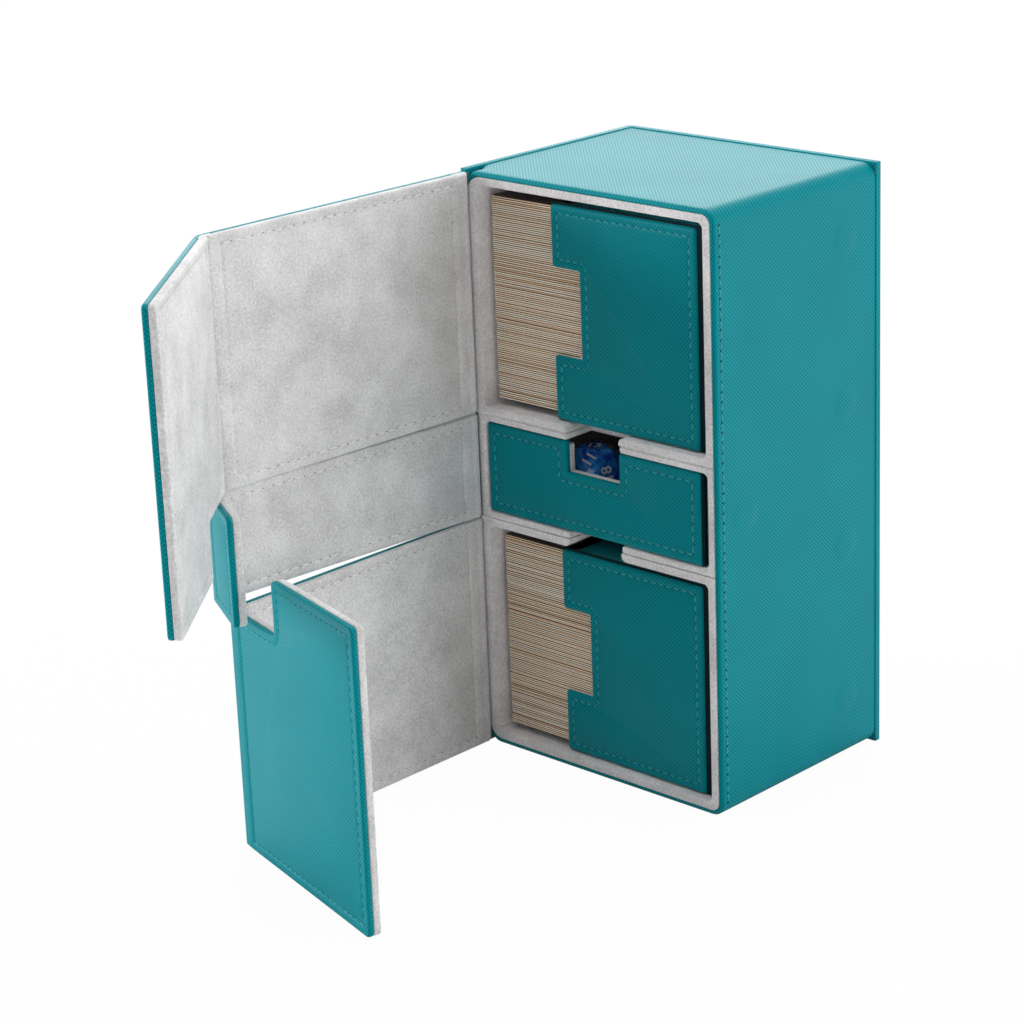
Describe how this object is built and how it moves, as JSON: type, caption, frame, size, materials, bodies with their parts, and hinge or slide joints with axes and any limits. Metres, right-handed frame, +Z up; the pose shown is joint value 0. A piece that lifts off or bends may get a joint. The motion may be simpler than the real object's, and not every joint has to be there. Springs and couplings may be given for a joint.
{
  "type": "playing card box with drawer",
  "caption": "Playing card box on its end: two open card cells with trays and decks, a drawer between, and folding magnetic doors.",
  "frame": {"origin": "centre of the case's foot, on the surface that it stands on", "axes": "+X to the right across the open front, +Y to the back panel, +Z up along the box's long side"},
  "size_m": [0.1179, 0.2648, 0.2064],
  "materials": {
    "leatherette": "fine diagonal grain, satin",
    "suede": "short grey nap",
    "board": "grey board",
    "magnet": "plated",
    "cards": "cut edges of card in sleeves",
    "die_plastic": "glossy cast resin"
  },
  "bodies": {
    "case": {"cover_skin": "leatherette", "cover_spine_board": "board", "cover_back_board": "board", "case_skin": "leatherette", "case_board": "board", "case_magnets": "magnet", "upper_cell_liner": "suede", "drawer_cell_liner": "suede", "lower_cell_liner": "suede", "upper_hinge_roll": "leatherette", "strap_hinge_roll": "leatherette", "lower_hinge_roll": "leatherette"},
    "upper_flap": {"upper_flap_skin": "leatherette", "upper_flap_board": "board", "upper_flap_lining": "suede", "upper_end_roll": "leatherette"},
    "upper_end": {"upper_end_skin": "leatherette", "upper_end_board": "board", "upper_end_lining": "suede", "upper_end_magnets": "magnet"},
    "strap": {"strap_skin": "leatherette", "strap_board": "board", "strap_lining": "suede", "tab_roll": "leatherette"},
    "tab": {"tab_skin": "leatherette", "tab_board": "board", "tab_lining": "suede", "tab_magnet": "magnet"},
    "lower_flap": {"lower_flap_skin": "leatherette", "lower_flap_board": "board", "lower_flap_lining": "suede", "lower_end_roll": "leatherette"},
    "lower_end": {"lower_end_skin": "leatherette", "lower_end_board": "board", "lower_end_lining": "suede", "lower_end_magnets": "magnet"},
    "drawer": {"drawer_front": "leatherette", "drawer_box": "suede", "drawer_lining": "suede", "die": "die_plastic"},
    "upper_tray": {"upper_tray_shell": "leatherette", "upper_tray_lining": "suede", "upper_deck": "cards"},
    "lower_tray": {"lower_tray_shell": "leatherette", "lower_tray_lining": "suede", "lower_deck": "cards"}
  },
  "joints": [
    {"name": "upper_flap_hinge", "type": "hinge", "parent": "case", "child": "upper_flap", "pos_m": [-0.054, -0.0441, 0], "axis": [0, 0, -1], "range_deg": [-92, 84]},
    {"name": "upper_end_fold", "type": "hinge", "parent": "upper_flap", "child": "upper_end", "pos_m": [-0.05784, -0.15413, 0], "axis": [0, 0, -1], "range_deg": [-49, 41]},
    {"name": "lower_flap_hinge", "type": "hinge", "parent": "case", "child": "lower_flap", "pos_m": [-0.054, -0.0441, 0], "axis": [0, 0, -1], "range_deg": [-90, 83]},
    {"name": "lower_end_fold", "type": "hinge", "parent": "lower_flap", "child": "lower_end", "pos_m": [-0.054, -0.1542, 0], "axis": [0, 0, -1], "range_deg": [-15, 75]},
    {"name": "strap_hinge", "type": "hinge", "parent": "case", "child": "strap", "pos_m": [-0.054, -0.0441, 0], "axis": [0, 0, -1], "range_deg": [-94, 86.7]},
    {"name": "tab_fold", "type": "hinge", "parent": "strap", "child": "tab", "pos_m": [-0.06168, -0.15393, 0], "axis": [0, 0, -1], "range_deg": [-24, 66]},
    {"name": "drawer_slide", "type": "slide", "parent": "case", "child": "drawer", "axis": [0, -1, 0], "range_m": [0, 0.06]},
    {"name": "upper_tray_slide", "type": "slide", "parent": "case", "child": "upper_tray", "axis": [0, -1, 0], "range_m": [0, 0.07]},
    {"name": "lower_tray_slide", "type": "slide", "parent": "case", "child": "lower_tray", "axis": [0, -1, 0], "range_m": [0, 0.07]}
  ],
  "couplings": [
    {"joint": "strap_hinge", "follows": "lower_flap_hinge", "ratio": 1.0444}
  ]
}
